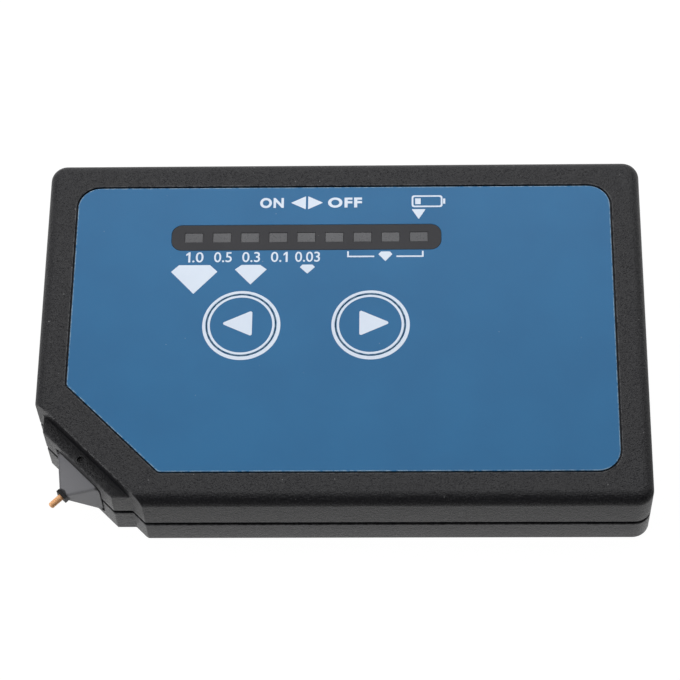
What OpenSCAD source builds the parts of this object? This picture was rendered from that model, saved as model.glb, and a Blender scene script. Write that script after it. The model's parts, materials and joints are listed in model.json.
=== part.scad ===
// Pocket thermal gem tester: a flat two-part case with a cut corner that holds a sprung probe,
// a printed face with a row of lamps and two arrow keys, a board, three cells and a sliding door.
// Sizes in millimetres. X runs left to right, Y front to rear, Z up from the table.

/* [Case] */
// Length of the case, left to right
body_l = 107.8; // [106:0.2:124]
// Depth of the case, front to rear
body_d = 68.6; // [68.6:0.2:80]
// Plan radius of the case corners
corner_r = 3; // [2.6:0.1:4]
// Radius of the rounded top edge
edge_r = 2.2; // [1:0.1:2.2]
// Height of the bevel round the bottom edge
foot_bevel = 0.4; // [0.2:0.05:0.7]
// Thickness of the side walls
wall = 2; // [1.8:0.05:2.3]
// Thickness of the bottom
floor_t = 2.1; // [1.8:0.05:2.4]
// Thickness of the roof
roof_t = 2; // [1.6:0.05:2.6]
// Height of the lower shell's outer wall
parting_z = 6; // [5.7:0.1:6.7]
// Height of the dark groove between the shells
reveal_h = 1; // [0.4:0.05:1.2]
// Depth of that groove
reveal_d = 0.8; // [0.6:0.05:1]
// Height of the tongue that centres the shells
lip_h = 2; // [1.4:0.1:2.6]
// Length of the cut corner along each side
chamfer_leg = 19.7; // [18.6:0.1:22]

/* [Nose] */
// How far the nose step stands out from the cut corner
nose_out = 2.3; // [1.8:0.1:2.8]
// Height of the nose step above the table
nose_h = 12.7; // [12.3:0.1:13.3]
// Set-back of the nose step from the front side
nose_inset = 2.3; // [1.6:0.1:2.6]
// Set-back of the nose step from the left side
nose_left = 1.5; // [1.2:0.1:2.6]
// Thickness of the nose step's roof
nose_roof = 1.7; // [1.2:0.1:1.9]
// Width of the mouth that clamps the probe nose
mouth_w = 11.6; // [11.4:0.1:12.8]
// Height of the mouth
mouth_h = 9.6; // [9.2:0.1:9.8]
// Bevel of the mouth's corners
mouth_cut = 0.7; // [0.5:0.1:1.6]
// Diameter of the mould mark on the nose step
dimple_d = 1.25; // [0.6:0.05:1.4]

/* [Probe] */
// Height of the probe's axis above the table
probe_z = 6; // [5.8:0.05:6.3]
// Offset of the probe along the cut corner
probe_shift = -0.7; // [-1:0.1:0.4]
// Width of the probe nose at its root
base_w = 10.5; // [9.6:0.1:11]
// Height of the probe nose at its root
base_h = 8.5; // [8:0.1:9.1]
// How far the probe nose tapers out of the mouth
taper_l = 3.9; // [3.4:0.1:4.4]
// Width of the probe nose at its end
snout_w = 2; // [1.9:0.05:2.3]
// Height of the probe nose at its end
snout_h = 2.1; // [1.9:0.05:2.4]
// Bevel along the slanted edges of the probe nose
snout_bevel = 0.15; // [0.05:0.05:0.3]
// Width of the dark collar
collar_w = 2.2; // [2.2:0.05:2.8]
// Height of the dark collar
collar_h = 1.8; // [1.8:0.05:2.4]
// Thickness of the dark collar
collar_t = 0.7; // [0.5:0.05:1]
// Diameter of the copper tip
pin_d = 1.15; // [0.9:0.05:1.2]
// How far the copper tip stands out of the case
pin_out = 7.1; // [6.6:0.1:7.4]
// Travel of the copper tip against its spring
pin_travel = 1.6; // [1:0.1:1.8]
// Outer diameter of the probe barrel
barrel_d = 5.2; // [4.8:0.1:5.4]
// Length of the probe spring
spring_l = 8; // [7.4:0.1:9]
// Wire thickness of the probe spring
spring_wire = 0.36; // [0.3:0.02:0.4]
// Turns of the probe spring
spring_turns = 8; // [6:1:9]

/* [Face panel] */
// Margin of the face panel inside the left, right and rear sides
panel_margin = 5.6; // [5:0.1:7]
// Margin of the face panel inside the front side
panel_front = 5.8; // [5:0.1:7]
// Margin of the face panel inside the cut corner
panel_corner = 6.05; // [5:0.05:7]
// Corner radius of the face panel
panel_r = 4; // [2:0.1:6]
// Radius of the face panel's two corners at the cut
panel_cut_r = 0.8; // [0.5:0.1:2]
// Thickness of the face panel
panel_t = 0.45; // [0.3:0.05:0.5]
// Gap round the face panel
panel_gap = 0.3; // [0.15:0.05:0.4]

/* [Lamps] */
// Number of lamps
lamp_count = 9; // [7:1:9]
// Distance from lamp to lamp
lamp_pitch = 5.08; // [4.6:0.02:5.1]
// Width of a lamp window
lamp_w = 3.2; // [2.6:0.05:3.4]
// Depth of a lamp window
lamp_d = 1.9; // [1.5:0.05:2.2]
// Distance from the last lamp's middle to the cell bay
lamp_x = 3.31; // [3:0.01:5]
// Distance from the lamp row to the rear side
lamp_y = 16.13; // [15:0.01:18]
// Margin of the lamp bar past the end windows
bar_end = 2.42; // [2:0.02:3]
// Margin of the lamp bar past the window sides
bar_side = 1.65; // [1.5:0.05:2.2]
// Corner radius of the lamp bar
bar_r = 1.9; // [0.8:0.1:2]

/* [Keys] */
// Diameter of a key
key_d = 12.22; // [10:0.02:13]
// Gap round a key
key_gap = 0.12; // [0.1:0.02:0.4]
// Distance from key to key
key_pitch = 22.96; // [20:0.02:24]
// Distance from the right key's middle to the cell bay
key_x = 11.96; // [10:0.02:14]
// Distance from the keys to the rear side
key_y = 34.08; // [32:0.02:37]
// Travel of a key
key_travel = 0.4; // [0.2:0.05:0.45]
// Thickness of a key's face
key_skin = 1.2; // [0.9:0.1:1.5]

/* [Board] */
// Thickness of the circuit board
board_t = 1.6; // [1:0.1:1.8]
// Room between the roof and the board
board_drop = 3; // [2.9:0.05:3.4]
// Side of a push switch
switch_w = 6; // [4.5:0.1:7]
// Height of a push switch
switch_h = 1.7; // [1.5:0.05:1.8]
// Diameter of a switch plunger
plunger_d = 3.4; // [3:0.1:4]
// Diameter of the sounder
sounder_d = 12; // [9:0.1:14]
// Height of the sounder
sounder_h = 5; // [3:0.1:5.4]
// Diameter of a capacitor
can_d = 5; // [4:0.1:6.3]
// Height of a capacitor
can_h = 5.2; // [4:0.1:5.6]
// Length of the control chip
chip_l = 10.3; // [8:0.1:14]
// Width of the control chip
chip_w = 7.5; // [5:0.1:9]

/* [Cells] */
// Diameter of a cell
cell_d = 10.5; // [10.2:0.05:10.8]
// Length of a cell, with its button
cell_l = 44.5; // [43.5:0.1:44.8]
// Gap between the cells
cell_gap = 0.4; // [0.3:0.05:0.6]
// Room for a spring behind each cell
cell_room = 3.9; // [3.6:0.1:4.2]
// Thickness of the bay's end walls
bay_wall = 1.6; // [1.4:0.05:1.7]
// Thickness of the contact plates
plate_t = 0.4; // [0.3:0.05:0.5]
// Wire thickness of the cell springs
coil_wire = 0.6; // [0.5:0.02:0.7]
// Turns of a cell spring
coil_turns = 3; // [2:1:3]
// Diameter of the battery leads
lead_d = 1.1; // [0.8:0.05:1.3]

/* [Door] */
// Thickness of the door's outer part
door_face = 0.95; // [0.8:0.05:1]
// Width of the tongue that runs in the shell
door_tongue = 1; // [0.7:0.05:1.1]
// Number of grip grooves in the door
grip_count = 6; // [3:1:9]

/* [Screws] */
// Diameter of a case screw
screw_d = 2.2; // [2:0.05:2.5]
// Diameter of a case screw's head
head_d = 4.2; // [3.8:0.05:4.4]
// Diameter of the posts that the case screws enter
post_d = 5.2; // [4.8:0.1:5.3]
// Place of the front post, right of the cut corner
front_post = 5.7; // [5:0.1:9]
// Diameter of a board screw
board_screw_d = 1.9; // [1.6:0.05:2.2]

/* [Hidden] */
$fn = 64;

// Fits and overlaps
ease = 0.01;
seat = 0.05;
loose = 0.1;
sink = 0.5;
past = 1;

// Heights
cell_lift = 0.55;
cell_headroom = 0.55;
case_h = floor_t + cell_lift + cell_d + cell_headroom + roof_t;
roof_z = case_h - roof_t;
panel_z = case_h - panel_t - seat;
face_z = panel_z + panel_t;
skirt_z = parting_z + reveal_h;
lip_top = parting_z + lip_h;
board_top = roof_z - board_drop;
board_under = board_top - board_t;

// Inside of the case
least_r = 0.5;
round_room = 0.3;
top_round = min(edge_r, corner_r - round_room);
inner_x = body_l / 2 - wall;
inner_y = body_d / 2 - wall;
chamfer_x = -body_l / 2 + chamfer_leg / 2;
chamfer_y = -body_d / 2 + chamfer_leg / 2;
cut_reach = 2 * chamfer_leg;
cut_turn = 225;
cut_half = 22.5;
nose_root = 3;
dimple_deep = 0.5;

// Probe stations, counted outward from the nose wall
mouth_back = 0.3;
plate_out = 0.05;
plate_gap = 0.25;
plate_notch = 0.45;
plate_bevel = mouth_cut + plate_notch;
flange_lip = 0.7;
flange_w = mouth_w + 2 * flange_lip;
flange_low = floor_t + loose - probe_z;
flange_high = nose_h - nose_roof - loose - probe_z;
flange_t = 1.6;
flange_s = -(wall + loose + flange_t);
stop_gap = 0.2;
stop_s = flange_s - stop_gap;
shoulder_t = 1;
barrel_wall = 0.85;
chamber_r = barrel_d / 2 - barrel_wall;
bush_wall = 0.22;
bush_r = pin_d / 2 + bush_wall;
bush_l = 3;
spring_s = stop_s - shoulder_t;
plug_s = spring_s - spring_l;
plug_t = 1.5;
barrel_s = plug_s - plug_t;
coil_gap = 0.17;
coil_r = chamber_r - coil_gap - spring_wire / 2;
bead_gap = 0.33;
bead_r = coil_r - spring_wire / 2 - bead_gap;
stem_l = 1.4;
stem_lip = 0.1;
bead_l = spring_l - stem_l - pin_travel - loose;
tip_bevel = 0.15;
saddle_t = 1.2;
saddle_side = 1;
saddle_front = 3;
saddle_rear = 1;

// Cells and bay
bay_gap = 0.4;
bay_side = 1.8;
cell_pitch = cell_d + cell_gap;
bay_right = inner_x;
bay_left = bay_right - 2 * bay_gap - cell_d - 2 * cell_pitch;
bay_face = bay_left - bay_side;
bay_top = roof_z - 2 * loose;
pad_t = 0.6;
pad_lip = 0.8;
bay_half = (cell_l + cell_room + pad_t) / 2 + plate_t;
cell_z = floor_t + cell_lift + cell_d / 2;
button_l = 1;
button_d = 3.8;
plate_w = 8;
plate_foot = 0.5;
plate_head = 0.8;
plate_low = floor_t + plate_foot;
plate_high = roof_z - plate_head;
coil_wide = 3.5;
coil_narrow = 2.2;

// Lamps
last_lamp = bay_face - lamp_x;
lamp_row = body_d / 2 - lamp_y;
bar_l = (lamp_count - 1) * lamp_pitch + lamp_w + 2 * bar_end;
bar_x = last_lamp + lamp_w / 2 + bar_end - bar_l / 2;
bar_d = lamp_d + 2 * bar_side;
lens_t = 1;
lens_end = 1.2;
lens_side = 0.8;
emitter_h = 1.2;
emitter_l = 1.8;
emitter_w = 1.4;

// Keys
right_key_x = bay_face - key_x;
key_row = body_d / 2 - key_y;
key_lip = 0.94;
key_flange = 0.6;
key_low = roof_z - loose - key_flange;
key_rim = 1.2;
key_stem_d = 4;
plunger_out = 0.5;
plunger_top = board_top + switch_h + plunger_out;
switch_floor = 0.2;
tab_out = 1;
tab_w = 0.7;
tab_t = 0.3;
tab_in = 0.5;

// Case screws
post_inset = 3;
bay_post = 5.2;
posts = [
    [-inner_x + post_inset, inner_y - post_inset],
    [bay_face - bay_post, inner_y - post_inset],
    [bay_face - bay_post, -inner_y + post_inset],
    [-body_l / 2 + chamfer_leg + front_post, -inner_y + post_inset]
];
post_rise = 0.6;
post_z = parting_z + post_rise;
boss_wall = 1.3;
head_gap = 0.3;
shank_gap = 0.2;
tip_room = 0.5;
head_h = 1.5;
head_seat = 2.6;
screw_l = 8;
cross_l = 0.62;
cross_w = 0.16;

// Board
board_gap = 0.5;
board_left = 10;
board_front = 7.8;
board_x0 = -inner_x + board_left;
board_x1 = bay_face - board_gap;
board_y0 = -inner_y + board_front;
board_y1 = inner_y - post_inset - post_d / 2 - board_gap;
board_cut = nose_out + barrel_s - board_gap;
board_nose_x = chamfer_x + chamfer_y - board_y0 - board_cut * sqrt(2);
board_post_d = 4.4;
screw_in = 3;
corner_in = 4.3;
lead_in = 7;
lens_gap = 0.3;
rear_row = lamp_row + lamp_d / 2 + lens_side + lens_gap + board_post_d / 2;
board_posts = [
    [board_x0 + screw_in, rear_row],
    [board_x1 - lead_in, rear_row],
    [board_x1 - lead_in, board_y0 + screw_in],
    [board_nose_x + corner_in, board_y0 + screw_in]
];
board_head_d = 3.8;
board_head_h = 1.3;
board_hole_gap = 0.15;
board_screw_room = 0.8;
board_post_cap = 0.4;

// Pieces under the board
chip_h = 2.2;
chip_stand = 0.2;
leg_pitch = 1.27;
leg_w = 0.45;
leg_l = 1.2;
leg_h = 1.2;
leg_out = 0.4;
control_x = 19;
control_y = 20;
control_legs = 8;
amplifier_x = 23;
amplifier_y = 12;
amplifier_l = 5;
amplifier_w = 4;
amplifier_legs = 4;
sounder_x = 14;
sounder_y = 17;
sounder_hole = 2;
can_x = 16;
can_y = 13;
can_gap = 2;
resistor_count = 6;
resistor_x = 8.4;
resistor_y = 6;
resistor_pitch = 3.2;
resistor_l = 2;
resistor_w = 1.25;
resistor_h = 0.6;

// Door
door_inset = 0.4;
door_x = bay_left + bay_gap;
door_half = bay_half - door_inset;
door_low = 0.1;
door_top = floor_t - seat;
tongue_low = door_low + door_face;
grip_in = 6;
grip_w = 12;
grip_pitch = 1.8;
grip_cut = 0.4;

// Leads
lead_sides = 8;
coil_sides = 6;
coil_rings = 8;
lead_drop = 0.2;
lead_z = plate_high - lead_drop - lead_d / 2;
notch_gap = 0.3;
notch_w = lead_d + 2 * notch_gap;
notch_z = lead_z - notch_w / 2;
probe_lead_d = 0.7;
probe_lead_gap = 1.6;
probe_bend = 3;
probe_rise = board_under - probe_z;
probe_route = [
    [plug_s - seat, 0],
    [barrel_s - probe_bend * 0.33, 0],
    [barrel_s - probe_bend * 0.67, probe_rise * 0.12],
    [barrel_s - probe_bend * 0.93, probe_rise * 0.45],
    [barrel_s - probe_bend, probe_rise * 0.8],
    [barrel_s - probe_bend, probe_rise]
];
red_y = bay_half - plate_t - lead_d / 2 - seat;
lead_bend = 1.4;
red_end = board_y1 - 1.6 * lead_bend;
red_out = bay_face - 1.4 * lead_bend;
red_route = [
    [bay_left + lead_bend, red_y, lead_z],
    [bay_face - lead_bend * 0.3, red_y, lead_z],
    [bay_face - lead_bend, red_end, lead_z - lead_bend * 0.2],
    [red_out, red_end, lead_z - lead_bend * 0.6],
    [red_out, red_end, board_top]
];
black_x = cell_at(2) - plate_w / 2 - lead_d / 2 - seat;
black_out = -bay_half - bay_wall - lead_bend;
black_end = board_x1 - lead_bend;
black_rise = board_y0 + lead_bend * 1.3;
black_route = [
    [black_x, -bay_half + plate_t, lead_z],
    [black_x, black_out + lead_bend * 0.85, lead_z],
    [black_x - lead_bend * 0.3, black_out + lead_bend * 0.2, lead_z],
    [black_x - lead_bend, black_out, lead_z],
    [black_end + lead_bend * 1.7, black_out, lead_z],
    [black_end + lead_bend * 0.4, black_out + lead_bend * 0.4, lead_z],
    [black_end, black_out + lead_bend * 1.6, lead_z],
    [black_end, board_y0 + lead_bend * 0.4, lead_z],
    [black_end, board_y0 + lead_bend * 1.1, lead_z - lead_bend * 0.2],
    [black_end, black_rise, lead_z - lead_bend * 0.6],
    [black_end, black_rise, board_top]
];

function lamp_at(i) = last_lamp - (lamp_count - 1 - i) * lamp_pitch;
function cell_at(i) = bay_right - bay_gap - cell_d / 2 - (2 - i) * cell_pitch;
function cell_way(i) = i == 1 ? -1 : 1;
function key_at(side) = [right_key_x - (1 - side) / 2 * key_pitch, key_row];
function unit(v) = v / norm(v);
function heading(p, k) = unit(p[min(k + 1, len(p) - 1)] - p[max(k - 1, 0)]);
function hoop(p, t, r, n, side) = let (a = unit(cross(t, side)), b = cross(t, a))
    [for (i = [0:n - 1]) p + r * (a * cos(360 * i / n) + b * sin(360 * i / n))];
function coil(turns, r0, r1, l) = [for (i = [0:turns * coil_rings])
    let (f = i / (turns * coil_rings), r = r0 + (r1 - r0) * f)
    [l * f, r * cos(360 * turns * f), r * sin(360 * turns * f)]];
function least_gap(p, d) = min([for (i = [0:len(p) - 1], j = [0:len(p) - 1])
    if (j > i + coil_rings / 2) norm(p[i] - p[j])]) - d;

// Tube along a route
module tube(p, r, n, side) {
    rings = [for (k = [0:len(p) - 1]) each hoop(p[k], heading(p, k), r, n, side)];
    last = (len(p) - 1) * n;
    walls = [for (k = [0:len(p) - 2], i = [0:n - 1]) each [
        [k * n + i, (k + 1) * n + i, (k + 1) * n + (i + 1) % n],
        [k * n + i, (k + 1) * n + (i + 1) % n, k * n + (i + 1) % n]
    ]];
    near_cap = [for (i = [1:n - 2]) [0, i, i + 1]];
    far_cap = [for (i = [1:n - 2]) [last, last + i + 1, last + i]];
    polyhedron(rings, concat(walls, near_cap, far_cap));
}

module round_plan(l, d, r) {
    square([l - 2 * r, d], center = true);
    square([l, d - 2 * r], center = true);
    for (x = [-1, 1], y = [-1, 1])
        translate([x * (l / 2 - r), y * (d / 2 - r)])
            circle(r);
}

module at_chamfer() {
    translate([chamfer_x, chamfer_y])
        rotate(cut_turn)
            children();
}

// Case outline without the nose, drawn in by an inset
module case_plan(inset) {
    difference() {
        round_plan(body_l - 2 * inset, body_d - 2 * inset, max(corner_r - inset, least_r));
        at_chamfer()
            translate([-inset, -cut_reach])
                square([cut_reach, 2 * cut_reach]);
    }
}

module nose_plan(inset) {
    intersection() {
        at_chamfer()
            translate([-nose_root, -chamfer_leg])
                square([nose_root + nose_out - inset, 2 * chamfer_leg]);
        translate([-body_l / 2 + nose_left + inset, -body_d / 2 + nose_inset + inset])
            square(2 * chamfer_leg);
    }
}

module full_plan(inset) {
    union() {
        case_plan(inset);
        nose_plan(inset);
    }
}

module slab(z0, z1) {
    translate([0, 0, z0])
        linear_extrude(z1 - z0)
            children();
}

module side_profile(w) {
    polygon([
        [-w / 2 + foot_bevel, 0], [w / 2 - foot_bevel, 0],
        [w / 2, foot_bevel], [w / 2, case_h - top_round],
        [-w / 2, case_h - top_round], [-w / 2, foot_bevel]
    ]);
    translate([-w / 2 + top_round, foot_bevel])
        square([w - 2 * top_round, case_h - foot_bevel]);
    for (x = [-1, 1])
        translate([x * (w / 2 - top_round), case_h - top_round])
            circle(top_round);
}

module corner_profile() {
    intersection() {
        union() {
            polygon([
                [0, 0], [corner_r - foot_bevel, 0],
                [corner_r, foot_bevel], [corner_r, case_h - top_round], [0, case_h - top_round]
            ]);
            square([corner_r - top_round, case_h]);
            translate([corner_r - top_round, case_h - top_round])
                circle(top_round);
        }
        square([corner_r, case_h]);
    }
}

// Outer form of the case with its rounded top edge, before the corner is cut
module case_block() {
    translate([-body_l / 2 + corner_r, 0, 0])
        rotate([90, 0, 90])
            linear_extrude(body_l - 2 * corner_r)
                side_profile(body_d);
    translate([0, body_d / 2 - corner_r, 0])
        rotate([90, 0, 0])
            linear_extrude(body_d - 2 * corner_r)
                side_profile(body_l);
    for (q = [[1, 1, 0], [-1, 1, 90], [-1, -1, 180], [1, -1, 270]])
        translate([q[0] * (body_l / 2 - corner_r), q[1] * (body_d / 2 - corner_r), 0])
            rotate(q[2])
                rotate_extrude(angle = 90)
                    corner_profile();
}

module chamfer_cut() {
    slab(-past, case_h + past)
        at_chamfer()
            translate([0, -cut_reach])
                square([cut_reach, 2 * cut_reach]);
}

module level(z0, z1) {
    translate([-body_l, -body_d, z0])
        cube([2 * body_l, 2 * body_d, z1 - z0]);
}

// Probe frame: X points out of the nose, Y runs along the cut corner
module at_probe() {
    translate([chamfer_x, chamfer_y, 0])
        rotate([0, 0, cut_turn])
            translate([nose_out, probe_shift, probe_z])
                children();
}

module along_probe(s0, s1) {
    at_probe()
        translate([s0, 0, 0])
            rotate([90, 0, 90])
                linear_extrude(s1 - s0)
                    children();
}

module probe_rod(s0, s1, r) {
    along_probe(s0, s1)
        circle(r);
}

module cut_corners(w, h, c) {
    polygon([
        [-w / 2 + c, -h / 2], [w / 2 - c, -h / 2], [w / 2, -h / 2 + c], [w / 2, h / 2 - c],
        [w / 2 - c, h / 2], [-w / 2 + c, h / 2], [-w / 2, h / 2 - c], [-w / 2, -h / 2 + c]
    ]);
}

module mouth() {
    along_probe(-wall - mouth_back, past)
        cut_corners(mouth_w, mouth_h, mouth_cut);
}

// Room behind the mouth for the flange of the probe nose
module flange_slot() {
    along_probe(flange_s - seat, -wall - seat)
        translate([-flange_w / 2 - seat, flange_low - seat])
            square([flange_w + 2 * seat, flange_high - flange_low + 2 * seat]);
}

module rod_y(x, z, y0, y1, d) {
    translate([x, min(y0, y1), z])
        rotate([-90, 0, 0])
            linear_extrude(abs(y1 - y0))
                circle(d = d);
}

module upright(p, z0, z1, d) {
    translate([p[0], p[1], z0])
        cylinder(h = z1 - z0, d = d);
}

module block(x0, x1, y0, y1, z0, z1) {
    translate([x0, min(y0, y1), z0])
        cube([x1 - x0, abs(y1 - y0), z1 - z0]);
}

// Screw driven upward, with its head's seat at height z
module screw(p, z, shank_d, shank_l, cap_d, cap_h) {
    difference() {
        union() {
            upright(p, z - cap_h, z, cap_d);
            upright(p, z, z + shank_l, shank_d);
        }
        for (turn = [0, 90])
            translate([p[0], p[1], z - cap_h])
                rotate(turn)
                    cube([cap_d * cross_l, cap_d * cross_w, cap_h], center = true);
    }
}

// Panel outline, with a radius of their own on the two corners at the cut
module panel_plan(grow) {
    r = panel_r + grow;
    cut_r = panel_cut_r + grow;
    half_l = body_l / 2 - panel_margin + grow;
    front = body_d / 2 - panel_front + grow;
    rear = body_d / 2 - panel_margin + grow;
    cut_sum = chamfer_x + chamfer_y + (panel_corner - grow) * sqrt(2);
    round_step = cut_r * tan(cut_half);
    front_round = [cut_sum + front + round_step, cut_r - front];
    left_round = [cut_r - half_l, cut_sum + half_l + round_step];
    difference() {
        translate([0, (rear - front) / 2])
            round_plan(2 * half_l, rear + front, r);
        at_chamfer()
            translate([-panel_corner + grow, -cut_reach])
                square([cut_reach, 2 * cut_reach]);
        for (q = [[front_round, cut_turn + cut_half], [left_round, cut_turn - cut_half]])
            translate(q[0])
                rotate(q[1])
                    translate([cut_r * cos(cut_half), -cut_reach])
                        square([cut_reach, 2 * cut_reach]);
    }
    for (p = [front_round, left_round])
        translate(p)
            circle(cut_r - ease);
}

module bar_plan(grow) {
    translate([bar_x, lamp_row])
        round_plan(bar_l + 2 * grow, bar_d + 2 * grow, bar_r + grow);
}

module lamp_windows(grow) {
    for (i = [0:lamp_count - 1])
        translate([lamp_at(i), lamp_row])
            square([lamp_w + 2 * grow, lamp_d + 2 * grow], center = true);
}

module key_holes() {
    for (side = [-1, 1])
        translate(key_at(side))
            circle(key_d / 2 + key_gap);
}

module top_shell() {
    color([0.15, 0.15, 0.16])
        difference() {
            union() {
                difference() {
                    union() {
                        difference() {
                            case_block();
                            chamfer_cut();
                        }
                        slab(foot_bevel, nose_h)
                            nose_plan(0);
                    }
                    level(-past, skirt_z);
                    slab(-past, roof_z)
                        case_plan(wall);
                    slab(-past, nose_h - nose_roof)
                        nose_plan(wall);
                    slab(-past, lip_top)
                        full_plan(reveal_d - loose);
                }
                for (p = posts)
                    upright(p, post_z, roof_z + seat, post_d);
                for (p = board_posts)
                    upright(p, board_top, roof_z + seat, board_post_d);
            }
            slab(panel_z, case_h + past)
                panel_plan(panel_gap);
            slab(roof_z - past, case_h)
                key_holes();
            slab(roof_z - past, case_h)
                lamp_windows(loose);
            for (p = posts)
                upright(p, post_z - past, head_seat + screw_l + tip_room, screw_d + 2 * seat);
            for (p = board_posts)
                upright(p, board_top - past, roof_z - board_post_cap, board_screw_d + 2 * seat);
            mouth();
            flange_slot();
            at_probe()
                translate([-nose_out / 2, 0, nose_h - probe_z - dimple_deep])
                    cylinder(h = dimple_deep + past, d = dimple_d);
        }
}

module bottom_shell() {
    color([0.17, 0.17, 0.18])
        difference() {
            union() {
                difference() {
                    union() {
                        difference() {
                            case_block();
                            chamfer_cut();
                            level(parting_z, case_h + past);
                        }
                        slab(0, parting_z)
                            nose_plan(0);
                        slab(parting_z - past, lip_top)
                            full_plan(reveal_d);
                    }
                    slab(floor_t, case_h)
                        full_plan(wall);
                }
                for (p = posts)
                    intersection() {
                        upright(p, floor_t - sink, post_z, head_d + 2 * boss_wall);
                        slab(0, case_h)
                            full_plan(wall - sink);
                    }
                bay();
                for (s = [plug_s + saddle_rear, stop_s - saddle_front])
                    at_probe()
                        translate([s, -barrel_d / 2 - saddle_side, floor_t - probe_z - sink])
                            cube([saddle_t, barrel_d + 2 * saddle_side, probe_z - floor_t + sink]);
            }
            probe_rod(barrel_s - past, flange_s, barrel_d / 2 + seat);
            mouth();
            flange_slot();
            for (p = posts) {
                upright(p, -past, head_seat, head_d + 2 * head_gap);
                upright(p, head_seat - past, post_z + past, screw_d + 2 * shank_gap);
            }
            door_way();
        }
}

// Walls that hold the cells, with notches for the leads
module bay() {
    bay_end = bay_half + bay_wall;
    difference() {
        union() {
            block(bay_face, bay_left, -bay_end, bay_end, floor_t - sink, bay_top);
            for (side = [-1, 1]) {
                block(bay_left - seat, inner_x - loose, side * bay_half, side * bay_end,
                    floor_t - sink, bay_top);
                block(inner_x - past, inner_x + sink, side * bay_half, side * bay_end,
                    floor_t - sink, lip_top - sink);
            }
        }
        block(bay_face - past, bay_left + past, red_y - notch_w / 2, red_y + notch_w / 2,
            notch_z, case_h);
        block(black_x - notch_w / 2, black_x + notch_w / 2, -bay_end - past, -bay_half + past,
            notch_z, case_h);
    }
}

// Opening for the door and the grooves for its tongues
module door_way() {
    block(door_x - loose, body_l, -door_half - loose, door_half + loose, -past, floor_t + seat);
    block(door_x - door_tongue - loose, body_l, -door_half - door_tongue - loose,
        door_half + door_tongue + loose, tongue_low - seat, floor_t + seat);
}

module battery_door() {
    color([0.19, 0.19, 0.2])
        difference() {
            intersection() {
                case_block();
                union() {
                    block(door_x, body_l, -door_half, door_half, door_low, door_top);
                    block(door_x - door_tongue, body_l, -door_half - door_tongue,
                        door_half + door_tongue, tongue_low, door_top);
                }
            }
            for (i = [0:grip_count - 1])
                translate([inner_x - grip_in - i * grip_pitch, 0, door_low])
                    cube([grip_pitch / 2, grip_w, 2 * grip_cut], center = true);
        }
}

module face_panel() {
    color([0.25, 0.44, 0.6])
        slab(panel_z, face_z)
            difference() {
                panel_plan(0);
                bar_plan(seat);
                key_holes();
            }
}

module lamp_bar() {
    color([0.24, 0.24, 0.25])
        slab(panel_z, face_z)
            difference() {
                bar_plan(0);
                lamp_windows(seat);
            }
}

module lens_strip() {
    color([0.42, 0.42, 0.43])
        union() {
            translate([bar_x, lamp_row, roof_z - lens_t / 2])
                cube([bar_l - 2 * (bar_end - lens_end), lamp_d + 2 * lens_side, lens_t], center = true);
            slab(roof_z - lens_t / 2, face_z - seat)
                lamp_windows(0);
        }
}

module lamps() {
    color([0.9, 0.85, 0.6])
        for (i = [0:lamp_count - 1])
            translate([lamp_at(i), lamp_row, board_top]) {
                translate([0, 0, emitter_h / 4])
                    cube([lamp_w, lamp_d, emitter_h / 2], center = true);
                translate([0, 0, emitter_h * 3 / 4])
                    cube([emitter_l, emitter_w, emitter_h / 2], center = true);
            }
}

// Flanged cap in the panel with a hollow back and a stem on the plunger
module key_cap(side) {
    p = key_at(side);
    difference() {
        union() {
            upright(p, key_low, face_z, key_d);
            upright(p, key_low, key_low + key_flange, key_d + 2 * key_lip);
        }
        upright(p, key_low - past, face_z - key_skin, key_d - 2 * key_rim);
    }
    upright(p, plunger_top, face_z - key_skin / 2, key_stem_d);
}

module left_key() {
    color([0.26, 0.45, 0.61])
        key_cap(-1);
}

module right_key() {
    color([0.26, 0.45, 0.61])
        key_cap(1);
}

module plunger(side) {
    color([0.75, 0.72, 0.66])
        upright(key_at(side), board_top + switch_floor + key_travel + loose, plunger_top, plunger_d);
}

module left_plunger() {
    plunger(-1);
}

module right_plunger() {
    plunger(1);
}

module switch_body(side) {
    p = key_at(side);
    color([0.2, 0.2, 0.21])
        difference() {
            union() {
                translate([p[0], p[1], board_top + switch_h / 2])
                    cube([switch_w, switch_w, switch_h], center = true);
                for (y = [-1, 1])
                    translate([p[0], p[1] + y * (switch_w / 2 - tab_in - tab_w / 2), board_top + tab_t / 2])
                        cube([switch_w + 2 * tab_out, tab_w, tab_t], center = true);
            }
            upright(p, board_top + switch_floor, board_top + switch_h + past, plunger_d + 2 * seat);
        }
}

module left_switch() {
    switch_body(-1);
}

module right_switch() {
    switch_body(1);
}

module circuit_board() {
    color([0.1, 0.36, 0.2])
        difference() {
            slab(board_under, board_top)
                difference() {
                    translate([board_x0, board_y0])
                        square([board_x1 - board_x0, board_y1 - board_y0]);
                    at_chamfer()
                        translate([board_cut, -cut_reach])
                            square([cut_reach, 2 * cut_reach]);
                }
            for (p = board_posts)
                upright(p, board_under - past, board_top + past, board_screw_d + 2 * board_hole_gap);
        }
}

module board_screws() {
    color([0.7, 0.7, 0.72])
        for (p = board_posts)
            screw(p, board_under, board_screw_d, board_t + board_drop - board_screw_room,
                board_head_d, board_head_h);
}

// Chip hung under the board on two rows of legs
module chip(p, l, w, legs) {
    translate([p[0], p[1], board_under - chip_stand - chip_h / 2])
        cube([l, w, chip_h], center = true);
    for (i = [0:legs - 1], y = [-1, 1])
        translate([p[0] + (i - (legs - 1) / 2) * leg_pitch, p[1] + y * (w / 2 + leg_out),
                board_under - leg_h / 2])
            cube([leg_w, leg_l, leg_h], center = true);
}

module control_chip() {
    color([0.12, 0.12, 0.13])
        union()
            chip([board_x1 - control_x, board_y0 + control_y], chip_l, chip_w, control_legs);
}

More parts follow.
